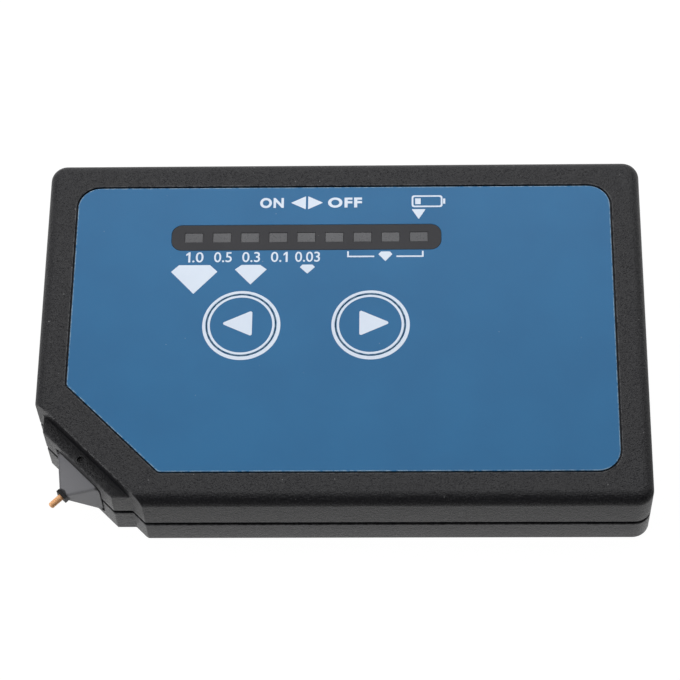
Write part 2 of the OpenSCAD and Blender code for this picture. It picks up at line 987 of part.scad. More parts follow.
module amplifier_chip() {
    color([0.12, 0.12, 0.13])
        union()
            chip([board_x0 + amplifier_x, board_y0 + amplifier_y], amplifier_l, amplifier_w, amplifier_legs);
}

module sounder() {
    p = [board_x0 + sounder_x, board_y1 - sounder_y];
    color([0.13, 0.13, 0.14])
        difference() {
            upright(p, board_under - sounder_h, board_under, sounder_d);
            upright(p, board_under - sounder_h - past, board_under - sounder_h / 2, sounder_hole);
        }
}

module capacitors() {
    color([0.2, 0.24, 0.35])
        for (i = [0, 1])
            upright([board_x1 - can_x + i * (can_d + can_gap), board_y1 - can_y],
                board_under - can_h, board_under, can_d);
}

module resistors() {
    color([0.1, 0.1, 0.11])
        for (i = [0:resistor_count - 1])
            translate([board_posts[1][0] - resistor_x - i * resistor_pitch, board_y1 - resistor_y,
                    board_under - resistor_h / 2])
                cube([resistor_w, resistor_l, resistor_h], center = true);
}

// Sides of the tapered snout, from its root in the plate to its end
module taper(root_w, end_w) {
    polygon([
        [plate_out - seat, -root_w / 2], [plate_out, -root_w / 2],
        [taper_l, -end_w / 2], [taper_l, end_w / 2],
        [plate_out, root_w / 2], [plate_out - seat, root_w / 2]
    ]);
}

// Four-sided snout with bevelled edges
module snout() {
    bevel_root = (base_w + base_h) / sqrt(2) - 2 * snout_bevel;
    bevel_end = (snout_w + snout_h) / sqrt(2) - 2 * snout_bevel;
    reach = base_w + base_h;
    intersection() {
        taper_prism(0, base_w, snout_w, reach);
        taper_prism(90, base_h, snout_h, reach);
        taper_prism(45, bevel_root, bevel_end, reach);
        taper_prism(-45, bevel_root, bevel_end, reach);
    }
}

module taper_prism(turn, root_w, end_w, reach) {
    rotate([turn, 0, 0])
        translate([0, 0, -reach / 2])
            linear_extrude(reach)
                taper(root_w, end_w);
}

// Grey nose: snout, plate in the mouth, flange behind the wall and barrel
module probe_nose() {
    inlay_w = mouth_w - 2 * plate_gap;
    inlay_h = mouth_h - 2 * plate_gap;
    neck_h = 2 * min(inlay_h / 2, -flange_low, flange_high);
    color([0.42, 0.42, 0.44])
        difference() {
            union() {
                along_probe(-wall - loose - seat, -wall + seat)
                    cut_corners(inlay_w, neck_h, plate_bevel);
                along_probe(-wall, plate_out)
                    cut_corners(inlay_w, inlay_h, plate_bevel);
                along_probe(flange_s, -wall - loose)
                    translate([-flange_w / 2, flange_low])
                        square([flange_w, flange_high - flange_low]);
                at_probe()
                    snout();
                probe_rod(barrel_s, flange_s + sink, barrel_d / 2);
            }
            probe_rod(stop_s - sink, taper_l + past, bush_r + seat);
            probe_rod(barrel_s - past, stop_s, chamber_r);
        }
}

module probe_collar() {
    color([0.14, 0.14, 0.15])
        difference() {
            union() {
                along_probe(taper_l, taper_l + collar_t)
                    square([collar_w, collar_h], center = true);
                probe_rod(taper_l - bush_l, taper_l + collar_t / 2, bush_r);
            }
            probe_rod(taper_l - bush_l - past, taper_l + collar_t + past, pin_d / 2 + seat);
        }
}

module probe_tip() {
    color([0.78, 0.48, 0.28])
        union() {
            probe_rod(spring_s, pin_out - tip_bevel, pin_d / 2);
            probe_rod(spring_s, pin_out, pin_d / 2 - tip_bevel);
            probe_rod(spring_s, stop_s, chamber_r - seat);
            probe_rod(spring_s - stem_l, spring_s + sink, pin_d / 2 + stem_lip);
        }
}

// Heater behind the tip, which meets the plug at the end of the travel
module probe_bead() {
    color([0.82, 0.8, 0.74])
        probe_rod(spring_s - stem_l - bead_l, spring_s - stem_l, bead_r);
}

module probe_spring() {
    turns = coil(spring_turns, coil_r, coil_r, spring_l - spring_wire - 2 * seat);
    echo(probe_spring_gap = least_gap(turns, spring_wire));
    color([0.72, 0.73, 0.75])
        at_probe()
            translate([plug_s + spring_wire / 2 + seat, 0, 0])
                tube(turns, spring_wire / 2, coil_sides, [1, 0, 0]);
}

module probe_plug() {
    color([0.3, 0.3, 0.32])
        difference() {
            probe_rod(barrel_s, plug_s, chamber_r - seat / 2);
            for (side = [-1, 1])
                at_probe()
                    translate([barrel_s - past, side * probe_lead_gap / 2, 0])
                        rotate([0, 90, 0])
                            cylinder(h = plug_t + 2 * past, d = probe_lead_d + 2 * seat);
        }
}

module probe_leads() {
    color([0.7, 0.2, 0.16])
        for (side = [-1, 1])
            at_probe()
                tube([for (p = probe_route) [p[0], side * probe_lead_gap / 2, p[1]]],
                    probe_lead_d / 2, lead_sides, [0, 1, 0]);
}

module cells() {
    color([0.24, 0.4, 0.3])
        for (i = [0:2]) {
            plus = cell_way(i) * (bay_half - plate_t - pad_t);
            shoulder = plus - cell_way(i) * button_l;
            rod_y(cell_at(i), cell_z, plus - cell_way(i) * cell_l, shoulder, cell_d);
            rod_y(cell_at(i), cell_z, shoulder, plus, button_d);
        }
}

// Tapered coils between the contact plates and the flat ends of the cells
module cell_springs() {
    turns = coil(coil_turns, coil_wide, coil_narrow, cell_room - coil_wire - 2 * seat);
    echo(cell_spring_gap = least_gap(turns, coil_wire));
    color([0.75, 0.76, 0.78])
        for (i = [0:2])
            translate([cell_at(i), -cell_way(i) * (bay_half - plate_t - coil_wire / 2 - seat), cell_z])
                rotate(cell_way(i) * 90)
                    tube(turns, coil_wire / 2, coil_sides, [1, 0, 0]);
}

module contact_plate(x0, x1, side) {
    block(x0, x1, side * bay_half, side * (bay_half - plate_t), plate_low, plate_high);
}

module contact_pad(i) {
    rod_y(cell_at(i), cell_z, cell_way(i) * (bay_half - plate_t - pad_t),
        cell_way(i) * (bay_half - plate_t / 2), button_d + 2 * pad_lip);
}

module rear_contacts() {
    color([0.8, 0.8, 0.78]) {
        union() {
            contact_plate(bay_left + seat, cell_at(0) + plate_w / 2, 1);
            contact_pad(0);
        }
        union() {
            contact_plate(cell_at(1) - plate_w / 2, cell_at(2) + plate_w / 2, 1);
            contact_pad(2);
        }
    }
}

module front_contacts() {
    color([0.8, 0.8, 0.78]) {
        union() {
            contact_plate(cell_at(0) - plate_w / 2, cell_at(1) + plate_w / 2, -1);
            contact_pad(1);
        }
        contact_plate(cell_at(2) - plate_w / 2, cell_at(2) + plate_w / 2, -1);
    }
}

module red_lead() {
    color([0.7, 0.12, 0.1])
        tube(red_route, lead_d / 2, lead_sides, [0, 1, 0]);
}

module black_lead() {
    color([0.1, 0.1, 0.11])
        tube(black_route, lead_d / 2, lead_sides, [0.35, 0.35, 1]);
}

module case_screws() {
    color([0.62, 0.63, 0.65])
        for (p = posts)
            screw(p, head_seat, screw_d, screw_l, head_d, head_h);
}

top_shell();
bottom_shell();
face_panel();
lamp_bar();
lens_strip();
lamps();
left_key();
right_key();
left_plunger();
right_plunger();
left_switch();
right_switch();
circuit_board();
board_screws();
control_chip();
amplifier_chip();
sounder();
capacitors();
resistors();
probe_nose();
probe_collar();
probe_tip();
probe_bead();
probe_spring();
probe_plug();
probe_leads();
cells();
cell_springs();
front_contacts();
rear_contacts();
red_lead();
black_lead();
battery_door();
case_screws();
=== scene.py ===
import json
import math

import bmesh
import bpy
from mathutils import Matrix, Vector


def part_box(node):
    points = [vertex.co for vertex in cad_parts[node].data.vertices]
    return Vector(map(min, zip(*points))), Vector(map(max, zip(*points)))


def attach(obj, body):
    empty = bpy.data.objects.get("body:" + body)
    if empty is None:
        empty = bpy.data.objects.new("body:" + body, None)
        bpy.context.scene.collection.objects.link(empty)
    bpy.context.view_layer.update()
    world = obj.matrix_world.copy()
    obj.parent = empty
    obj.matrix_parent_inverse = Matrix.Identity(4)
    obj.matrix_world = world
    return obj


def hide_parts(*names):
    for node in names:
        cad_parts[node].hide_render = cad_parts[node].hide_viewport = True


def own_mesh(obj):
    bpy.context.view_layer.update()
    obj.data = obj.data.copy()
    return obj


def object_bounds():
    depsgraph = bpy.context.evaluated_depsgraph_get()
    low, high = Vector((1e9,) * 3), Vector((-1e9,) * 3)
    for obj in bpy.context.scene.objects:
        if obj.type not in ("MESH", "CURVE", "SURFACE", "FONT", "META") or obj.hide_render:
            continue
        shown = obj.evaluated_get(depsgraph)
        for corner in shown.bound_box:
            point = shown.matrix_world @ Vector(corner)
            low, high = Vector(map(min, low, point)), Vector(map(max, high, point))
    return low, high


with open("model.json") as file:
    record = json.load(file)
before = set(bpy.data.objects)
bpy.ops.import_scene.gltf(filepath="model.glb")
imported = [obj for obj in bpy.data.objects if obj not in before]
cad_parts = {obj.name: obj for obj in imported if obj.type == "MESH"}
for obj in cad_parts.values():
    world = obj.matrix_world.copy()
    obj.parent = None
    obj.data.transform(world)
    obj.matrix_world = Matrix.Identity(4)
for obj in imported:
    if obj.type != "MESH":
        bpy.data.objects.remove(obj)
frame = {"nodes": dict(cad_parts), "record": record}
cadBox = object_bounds()
cadNodes = frame["nodes"]
scene = bpy.context.scene
mm = 0.001
print("frame loaded with", len(cadNodes), "nodes")


# Shader helpers

def addNode(tree, kind, options=None, sockets=None):
    node = tree.nodes.new(kind)
    for name, value in (options or {}).items():
        setattr(node, name, value)
    for name, value in (sockets or {}).items():
        if isinstance(value, bpy.types.NodeSocket):
            tree.links.new(value, node.inputs[name])
        else:
            node.inputs[name].default_value = value
    return node


def calc(tree, operation, first, second=0.0):
    return addNode(tree, "ShaderNodeMath", {"operation": operation}, {0: first, 1: second}).outputs[0]


def remap(tree, value, low, high, newLow=0.0, newHigh=1.0):
    sockets = {"Value": value, "From Min": low, "From Max": high, "To Min": newLow, "To Max": newHigh}
    return addNode(tree, "ShaderNodeMapRange", None, sockets).outputs["Result"]


def between(tree, share, first, second):
    return remap(tree, share, 0.0, 1.0, first, second)


def noise(tree, place, scale, detail, roughness=0.5):
    sockets = {"Vector": place, "Scale": scale, "Detail": detail, "Roughness": roughness}
    return addNode(tree, "ShaderNodeTexNoise", None, sockets).outputs["Fac"]


def opaque(colour):
    return colour if isinstance(colour, bpy.types.NodeSocket) else (*colour, 1.0)


def blendColour(tree, mask, first, second):
    sockets = {0: mask, 6: opaque(first), 7: opaque(second)}  # factor and the two colours
    return addNode(tree, "ShaderNodeMix", {"data_type": "RGBA"}, sockets).outputs[2]


def blendShaders(tree, share, first, second):
    sockets = {0: share, 1: first.outputs[0], 2: second.outputs[0]}
    return addNode(tree, "ShaderNodeMixShader", None, sockets)


def objectPlace(tree):
    return addNode(tree, "ShaderNodeTexCoord").outputs["Object"]


def placeAxes(tree):
    return addNode(tree, "ShaderNodeSeparateXYZ", None, {"Vector": objectPlace(tree)}).outputs


def startGroup(name, inputs, outputs):
    tree = bpy.data.node_groups.new(name, "ShaderNodeTree")
    for label, value in inputs.items():
        socket = tree.interface.new_socket(label, in_out="INPUT", socket_type="NodeSocketFloat")
        socket.default_value = value
    for label in outputs:
        tree.interface.new_socket(label, in_out="OUTPUT", socket_type="NodeSocketFloat")
    given = tree.nodes.new("NodeGroupInput").outputs
    result = tree.nodes.new("NodeGroupOutput").inputs
    return tree, given, result


def placeGroup(tree, group, values):
    return addNode(tree, "ShaderNodeGroup", {"node_tree": group}, values).outputs


# Shared effects, where a span holds the values that count as none and as full

grainShape = {
    "broadShare": 0.35, "peakPower": 4.0, "peakGain": 1.6,
    "patchScale": 85.0, "patchSpan": (0.35, 0.65), "speckSpan": (0.3, 0.7),
}


def makeGrainGroup():
    inputs = {"Scale": 2400.0, "Waviness": 0.3, "Speckle": 0.0}
    tree, given, result = startGroup("moulded grain", inputs, ["Height", "Tone"])
    place = objectPlace(tree)
    fine = noise(tree, place, given["Scale"], detail=2.0, roughness=0.6)
    broadScale = calc(tree, "MULTIPLY", given["Scale"], grainShape["broadShare"])
    broad = noise(tree, place, broadScale, detail=1.0)
    wave = calc(tree, "MULTIPLY", broad, given["Waviness"])
    sharpened = calc(tree, "POWER", fine, grainShape["peakPower"])
    peaks = calc(tree, "MULTIPLY", sharpened, grainShape["peakGain"])
    pitted = between(tree, given["Speckle"], fine, peaks)
    tree.links.new(calc(tree, "ADD", pitted, wave), result["Height"])
    patches = noise(tree, place, grainShape["patchScale"], detail=4.0)
    cloudy = remap(tree, patches, *grainShape["patchSpan"])
    specks = remap(tree, fine, *grainShape["speckSpan"])
    tree.links.new(between(tree, given["Speckle"], cloudy, specks), result["Tone"])
    return tree


# Sparse lighter specks: partly grime, partly painted glints of the moulded grain
def makeDustAndGlintGroup():
    inputs = {"Scale": 900.0, "Share": 0.1, "Size": 0.11}
    tree, given, result = startGroup("grime and painted glint specks", inputs, ["Mask"])
    sockets = {"Vector": objectPlace(tree), "Scale": given["Scale"]}
    cells = addNode(tree, "ShaderNodeTexVoronoi", None, sockets).outputs
    chance = addNode(tree, "ShaderNodeSeparateColor", None, {"Color": cells["Color"]}).outputs
    picked = calc(tree, "LESS_THAN", chance[0], given["Share"])
    speckSize = calc(tree, "MULTIPLY", chance[1], given["Size"])
    near = calc(tree, "LESS_THAN", cells["Distance"], speckSize)
    tree.links.new(calc(tree, "MULTIPLY", picked, near), result["Mask"])
    return tree


# Edge mask from inward AO, broken into patches: scuffed edges on most pieces; it also paints an edge
# highlight on the case and film, and a dark edge reflection on the nose
wearAndLightShape = {"samples": 8, "edgeSpan": (0.96, 0.78), "patchSpan": (0.35, 0.6)}


def makeWearAndLightGroup():
    inputs = {"Radius": 0.3 * mm, "Breakup": 1500.0, "Cover": 0.0}
    tree, given, result = startGroup("edge scuffs and painted edge light", inputs, ["Mask"])
    options = {"inside": True, "only_local": True, "samples": wearAndLightShape["samples"]}
    inward = addNode(tree, "ShaderNodeAmbientOcclusion", options, {"Distance": given["Radius"]})
    edge = remap(tree, inward.outputs["AO"], *wearAndLightShape["edgeSpan"])  # seen from inside, edges are dark
    patchy = noise(tree, objectPlace(tree), given["Breakup"], detail=3.0)
    covered = calc(tree, "ADD", patchy, given["Cover"])
    wornAndLit = remap(tree, covered, *wearAndLightShape["patchSpan"])
    tree.links.new(calc(tree, "MULTIPLY", edge, wornAndLit), result["Mask"])
    return tree


lineShape = {"stainScale": 900.0, "stainSpan": (0.4, 0.65)}


def makeLinesGroup():
    inputs = {"Scale": 9000.0, "Turn": 0.0, "Stretch": 0.02}
    tree, given, result = startGroup("drawn lines", inputs, ["Height", "Tone"])
    place = objectPlace(tree)
    turned = addNode(tree, "ShaderNodeVectorRotate", {"rotation_type": "Z_AXIS"},
                     {"Vector": place, "Angle": given["Turn"]})
    squeeze = addNode(tree, "ShaderNodeCombineXYZ", None, {"X": given["Stretch"], "Y": 1.0, "Z": 1.0})
    along = addNode(tree, "ShaderNodeVectorMath", {"operation": "MULTIPLY"},
                    {0: turned.outputs["Vector"], 1: squeeze.outputs["Vector"]})
    lines = noise(tree, along.outputs["Vector"], given["Scale"], detail=2.0)
    tree.links.new(lines, result["Height"])
    stain = noise(tree, place, lineShape["stainScale"], detail=4.0)
    tree.links.new(remap(tree, stain, *lineShape["stainSpan"]), result["Tone"])
    return tree


grainGroup = makeGrainGroup()
dustAndGlintGroup = makeDustAndGlintGroup()
wearAndLightGroup = makeWearAndLightGroup()
linesGroup = makeLinesGroup()
print("shared effects made")


# Materials

def startMaterial(name):
    material = bpy.data.materials.new(name)
    material.use_nodes = True
    tree = material.node_tree
    return material, tree, tree.nodes["Principled BSDF"]


def addRoughness(tree, shader, height, look):
    rough = remap(tree, height, *look["heightSpan"], *look["roughness"])
    tree.links.new(rough, shader.inputs["Roughness"])


def addBump(tree, shader, height, depth):
    bump = addNode(tree, "ShaderNodeBump", None, {"Height": height, "Strength": 1.0, "Distance": depth})
    tree.links.new(bump.outputs["Normal"], shader.inputs["Normal"])


def awayFrom(tree, node, gap):
    low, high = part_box(node)
    place = placeAxes(tree)
    beyond = []
    for axis in (0, 1):
        offset = calc(tree, "SUBTRACT", place[axis], (low[axis] + high[axis]) / 2)
        reach = (high[axis] - low[axis]) / 2 + gap
        beyond.append(calc(tree, "GREATER_THAN", calc(tree, "ABSOLUTE", offset), reach))
    return calc(tree, "MAXIMUM", *beyond)


def mouldedFinish(name, look):
    material, tree, shader = startMaterial(name)
    grain = placeGroup(tree, grainGroup,
                       {"Scale": look["grain"], "Waviness": look["wave"], "Speckle": look["speckle"]})
    wearAndLight = placeGroup(tree, wearAndLightGroup, {"Radius": look["wearAndLightWidth"], "Cover": look["wearAndLightCover"]})
    dustAndGlint = placeGroup(tree, dustAndGlintGroup, {"Share": look["dustAndGlintShare"]})
    toned = blendColour(tree, grain["Tone"], look["dark"], look["light"])
    edgeWearAndLight = calc(tree, "MULTIPLY", wearAndLight["Mask"], look["wearAndLight"])
    if "noEdgeMarkNear" in look:  # no scuffs and no painted edge highlight on the edge round this node
        edgeWearAndLight = calc(tree, "MULTIPLY", edgeWearAndLight, awayFrom(tree, look["noEdgeMarkNear"], look["noEdgeMarkGap"]))
    # edge colour blended in: scuffs on most pieces, painted edge highlight on case and film, painted dark
    # edge reflection on the nose
    wornAndLit = blendColour(tree, edgeWearAndLight, toned, look["edge"])
    # lighter specks, partly grime and partly painted glints
    dustAndGlintMask = calc(tree, "MULTIPLY", dustAndGlint["Mask"], look["dustAndGlint"])
    tree.links.new(blendColour(tree, dustAndGlintMask, wornAndLit, look["dustAndGlintTone"]), shader.inputs["Base Color"])
    addRoughness(tree, shader, grain["Height"], look)
    addBump(tree, shader, grain["Height"], look["depth"])
    shader.inputs["IOR"].default_value = look["ior"]
    return material


def metalFinish(name, look):
    material, tree, shader = startMaterial(name)
    lines = placeGroup(tree, linesGroup, {"Scale": look["lines"], "Turn": look["turn"]})
    wearAndLight = placeGroup(tree, wearAndLightGroup, {"Radius": look["wearAndLightWidth"]})
    toned = blendColour(tree, lines["Tone"], look["light"], look["dark"])
    edgeWearAndLight = calc(tree, "MULTIPLY", wearAndLight["Mask"], look["wearAndLight"])
    tree.links.new(blendColour(tree, edgeWearAndLight, toned, look["edge"]), shader.inputs["Base Color"])
    addRoughness(tree, shader, lines["Height"], look)
    addBump(tree, shader, lines["Height"], look["depth"])
    shader.inputs["Metallic"].default_value = look["metallic"]
    return material


plainLook = {  # what most moulded pieces share
    "grain": 2600.0, "wave": 0.3, "speckle": 0.0, "depth": 0.012 * mm, "ior": 1.5,
    "roughness": (0.4, 0.55), "heightSpan": (0.4, 0.9),
    "wearAndLight": 0.25, "wearAndLightWidth": 0.25 * mm, "wearAndLightCover": 0.0, "noEdgeMarkGap": 0.6 * mm,
    "dustAndGlint": 0.0, "dustAndGlintShare": 0.05, "dustAndGlintTone": (0.45, 0.45, 0.45),
}
mouldedLooks = {
    # lighter case edges are a painted edge highlight with some scuffing; its specks are partly grime, partly
    # painted glints
    "case_black": {"dark": (0.006, 0.006, 0.0075), "light": (0.0165, 0.0165, 0.019),
                   "edge": (0.14, 0.14, 0.145), "grain": 3800.0, "wave": 0.25, "speckle": 1.0,
                   "depth": 0.22 * mm, "roughness": (0.32, 0.44), "wearAndLight": 0.65,
                   "dustAndGlint": 0.3, "dustAndGlintShare": 0.3},
    # the pale-blue film edges are a painted edge highlight
    "panel_blue": {"dark": (0.0055, 0.112, 0.268), "light": (0.007, 0.122, 0.286),
                   "edge": (0.34, 0.48, 0.58), "grain": 4200.0, "depth": 0.01 * mm,
                   "roughness": (0.34, 0.42), "ior": 1.46, "wearAndLight": 0.65, "wearAndLightWidth": 0.22 * mm,
                   "noEdgeMarkNear": "lamp_bar", "dustAndGlint": 0.3, "dustAndGlintShare": 0.04},
    "bar_dark": {"dark": (0.0115, 0.0115, 0.0155), "light": (0.0155, 0.0155, 0.0195),
                 "edge": (0.05, 0.05, 0.055), "grain": 4200.0, "depth": 0.004 * mm,
                 "roughness": (0.36, 0.46), "wearAndLightWidth": 0.08 * mm, "dustAndGlint": 0.4, "dustAndGlintShare": 0.12},
    "lens_grey": {"dark": (0.07, 0.071, 0.077), "light": (0.088, 0.089, 0.095),
                  "edge": (0.16, 0.16, 0.17), "depth": 0.003 * mm, "roughness": (0.25, 0.32),
                  "wearAndLightWidth": 0.1 * mm},
    # dark nose edges are a painted dark reflection of the dim front
    "nose_grey": {"dark": (0.19, 0.19, 0.202), "light": (0.215, 0.215, 0.228),
                  "edge": (0.03, 0.03, 0.032), "depth": 0.006 * mm, "roughness": (0.42, 0.5),
                  "wearAndLight": 0.95, "wearAndLightWidth": 0.55 * mm, "wearAndLightCover": 0.25},
    "collar_black": {"dark": (0.005, 0.005, 0.0055), "light": (0.009, 0.009, 0.0095),
                     "edge": (0.06, 0.06, 0.06), "depth": 0.004 * mm, "ior": 1.4, "wearAndLightWidth": 0.1 * mm},
    "emitter": {"dark": (0.62, 0.58, 0.4), "light": (0.72, 0.67, 0.46), "edge": (0.8, 0.78, 0.6),
                "roughness": (0.15, 0.22), "depth": 0.002 * mm},
    "switch_black": {"dark": (0.014, 0.014, 0.015), "light": (0.02, 0.02, 0.021), "edge": (0.05, 0.05, 0.05)},
    "plunger_cream": {"dark": (0.5, 0.46, 0.38), "light": (0.58, 0.54, 0.45), "edge": (0.65, 0.62, 0.54)},
    "chip_black": {"dark": (0.011, 0.011, 0.012), "light": (0.018, 0.018, 0.019), "edge": (0.06, 0.06, 0.06)},
    "can_blue": {"dark": (0.012, 0.02, 0.07), "light": (0.018, 0.03, 0.09), "edge": (0.1, 0.12, 0.2),
                 "roughness": (0.25, 0.35)},
    "ceramic": {"dark": (0.56, 0.53, 0.45), "light": (0.64, 0.61, 0.53), "edge": (0.7, 0.68, 0.6),
                "roughness": (0.2, 0.3)},
    "cell_jacket": {"dark": (0.018, 0.075, 0.04), "light": (0.024, 0.09, 0.05), "edge": (0.16, 0.2, 0.16),
                    "roughness": (0.2, 0.28), "depth": 0.003 * mm},
    "lead_red": {"dark": (0.3, 0.012, 0.01), "light": (0.38, 0.018, 0.014), "edge": (0.45, 0.06, 0.05)},
    "lead_black": {"dark": (0.01, 0.01, 0.01), "light": (0.016, 0.016, 0.016), "edge": (0.05, 0.05, 0.05)},
}
plainMetal = {  # what most bare metal pieces share
    "lines": 9000.0, "turn": 0.0, "depth": 0.001 * mm, "metallic": 1.0, "heightSpan": (0.3, 0.7),
    "wearAndLight": 0.5, "wearAndLightWidth": 0.1 * mm,
}
metalLooks = {
    "copper": {"light": (0.98, 0.55, 0.27), "dark": (0.9, 0.46, 0.21), "edge": (0.97, 0.66, 0.43),
               "turn": math.radians(-45), "depth": 0.002 * mm, "roughness": (0.48, 0.6), "metallic": 0.15},
    "spring_steel": {"light": (0.6, 0.6, 0.62), "dark": (0.42, 0.42, 0.44), "edge": (0.75, 0.75, 0.76),
                     "roughness": (0.22, 0.34), "wearAndLightWidth": 0.05 * mm},
    "contact_nickel": {"light": (0.66, 0.64, 0.6), "dark": (0.52, 0.5, 0.46), "edge": (0.8, 0.79, 0.76),
                       "lines": 7000.0, "roughness": (0.25, 0.38)},
    "screw_zinc": {"light": (0.56, 0.57, 0.59), "dark": (0.4, 0.41, 0.43), "edge": (0.72, 0.72, 0.74),
                   "lines": 5000.0, "turn": 0.6, "depth": 0.002 * mm, "roughness": (0.3, 0.45)},
}
boardLook = {
    "dark": (0.006, 0.075, 0.03), "light": (0.01, 0.1, 0.042), "trace": (0.02, 0.15, 0.06),
    "grain": 3000.0, "roughness": (0.2, 0.3), "heightSpan": (0.4, 0.9),
    "traceScale": 240.0, "traceSpan": (0.1, 0.14), "depth": -0.02 * mm,
}
printLook = {
    **plainLook, "dark": (0.627, 0.703, 0.817), "light": (0.665, 0.741, 0.846), "edge": (0.69, 0.76, 0.86),
    "grain": 5200.0, "depth": 0.003 * mm, "roughness": (0.42, 0.52), "wearAndLight": 0.2,
}


def boardFinish(name, look):
    material, tree, shader = startMaterial(name)
    cells = addNode(tree, "ShaderNodeTexVoronoi", {"feature": "DISTANCE_TO_EDGE", "distance": "CHEBYCHEV"},
                    {"Vector": objectPlace(tree), "Scale": look["traceScale"]})
    trace = remap(tree, cells.outputs["Distance"], *look["traceSpan"])
    grain = placeGroup(tree, grainGroup, {"Scale": look["grain"]})
    lacquer = blendColour(tree, grain["Tone"], look["dark"], look["light"])
    tree.links.new(blendColour(tree, trace, look["trace"], lacquer), shader.inputs["Base Color"])
    addRoughness(tree, shader, grain["Height"], look)
    addBump(tree, shader, trace, look["depth"])
    return material


finishes = {slot: mouldedFinish(slot, {**plainLook, **look}) for slot, look in mouldedLooks.items()}
finishes.update({slot: metalFinish(slot, {**plainMetal, **look}) for slot, look in metalLooks.items()})
finishes["board_green"] = boardFinish("board_green", boardLook)
printWhite = mouldedFinish("print_white", printLook)
print("materials made:", len(finishes) + 1)


# Finish of the carried-over nodes, with their edges eased

easing = {
    "weldGap": 0.001 * mm, "flatAngle": math.radians(0.6), "bevelAngle": math.radians(38), "segments": 2,
    "smoothAngle": math.radians(35), "tubeLevels": 2,
}
edgeEase = {  # bevel width in mm for pieces whose edges show
    "top_shell": 0.16, "bottom_shell": 0.14, "battery_door": 0.12, "face_panel": 0.08, "lamp_bar": 0.03,
    "lens_strip": 0.04, "left_key": 0.08, "right_key": 0.08, "probe_nose": 0.08, "probe_collar": 0.07,
    "probe_tip": 0.06, "case_screws": 0.1, "board_screws": 0.1, "sounder": 0.3, "capacitors": 0.3,
    "cells": 0.3, "circuit_board": 0.1, "control_chip": 0.08, "amplifier_chip": 0.08,
}
softTubes = ["cell_springs", "probe_leads", "red_lead", "black_lead"]


def makeShadeGroup():
    tree = bpy.data.node_groups.new("shade by angle", "GeometryNodeTree")
    for way in ("INPUT", "OUTPUT"):
        tree.interface.new_socket("Geometry", in_out=way, socket_type="NodeSocketGeometry")
    start = tree.nodes.new("NodeGroupInput")
    end = tree.nodes.new("NodeGroupOutput")
    smooth = addNode(tree, "GeometryNodeSetShadeSmooth", {"domain": "FACE"},
                     {"Geometry": start.outputs[0], "Shade Smooth": True})
    angle = addNode(tree, "GeometryNodeInputMeshEdgeAngle").outputs["Unsigned Angle"]
    gentle = addNode(tree, "FunctionNodeCompare", {"operation": "LESS_THAN"},
                     {0: angle, 1: easing["smoothAngle"]})
    crisp = addNode(tree, "GeometryNodeSetShadeSmooth", {"domain": "EDGE"},
                    {"Geometry": smooth.outputs[0], "Shade Smooth": gentle.outputs[0]})
    tree.links.new(crisp.outputs[0], end.inputs[0])
    return tree


shadeGroup = makeShadeGroup()


def weldPoints(node):
    weld = node.modifiers.new("weld", "WELD")
    weld.merge_threshold = easing["weldGap"]


def easeEdges(node, width):
    weldPoints(node)
    flatten = node.modifiers.new("flatten", "DECIMATE")
    flatten.decimate_type = "DISSOLVE"
    flatten.angle_limit = easing["flatAngle"]
    bevel = node.modifiers.new("ease", "BEVEL")
    bevel.width = width
    bevel.segments = easing["segments"]
    bevel.limit_method = "ANGLE"
    bevel.angle_limit = easing["bevelAngle"]
    bevel.use_clamp_overlap = False
    shade = node.modifiers.new("shade", "NODES")
    shade.node_group = shadeGroup
    weight = node.modifiers.new("weight", "WEIGHTED_NORMAL")
    weight.keep_sharp = True


def roundTube(node):
    weldPoints(node)
    rounder = node.modifiers.new("round", "SUBSURF")
    rounder.levels = rounder.render_levels = easing["tubeLevels"]


for part in frame["record"]["subparts"]:
    cadNodes[part["node"]].material_slots[0].material = finishes[part["material_slot"]]
for name, width in edgeEase.items():
    easeEdges(cadNodes[name], width * mm)
for name in softTubes:
    roundTube(cadNodes[name])
print("nodes dressed")


# Printed marks, as thin closed films on the face

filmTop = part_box("face_panel")[1].z
inkDepth = 0.02 * mm
barLow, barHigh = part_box("lamp_bar")
lampLow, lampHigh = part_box("lamps")


def addPiece(name, mesh, body, material):
    piece = bpy.data.objects.new(name, mesh)
    scene.collection.objects.link(piece)
    mesh.materials.append(material)
    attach(piece, body)
    return piece


def closeMesh(build, mesh):
    bmesh.ops.recalc_face_normals(build, faces=build.faces)
    build.to_mesh(mesh)
    build.free()


def bridge(build, low, high, smooth=False):
    for k in range(len(low)):
        j = (k + 1) % len(low)
        build.faces.new((low[k], low[j], high[j], high[k])).smooth = smooth


def circlePoints(centre, radius, count=96):
    turns = [2 * math.pi * k / count for k in range(count)]
    return [(centre[0] + radius * math.cos(a), centre[1] + radius * math.sin(a)) for a in turns]


def roundCorners(points, radius, steps=5):
    rounded = []
    for k, corner in enumerate(points):
        here = Vector(corner)
        back = (Vector(points[k - 1]) - here).normalized()
        ahead = (Vector(points[(k + 1) % len(points)]) - here).normalized()
        half = back.angle(ahead) / 2
        reach = radius / math.tan(half)
        middle = here + (back + ahead).normalized() * radius / math.sin(half)
        first = here + back * reach - middle
        sweep = first.angle_signed(here + ahead * reach - middle)
        for s in range(steps + 1):
            turn = -sweep * s / steps
            spoke = Vector((first.x * math.cos(turn) - first.y * math.sin(turn),
                            first.x * math.sin(turn) + first.y * math.cos(turn)))
            rounded.append(tuple(middle + spoke))
    return rounded


def boxPoints(x0, x1, y0, y1):
    return [(x0, y0), (x1, y0), (x1, y1), (x0, y1)]


def arrow(x, y, length, height, radius):
    return roundCorners([(x + length, y), (x, y + height / 2), (x, y - height / 2)], radius)


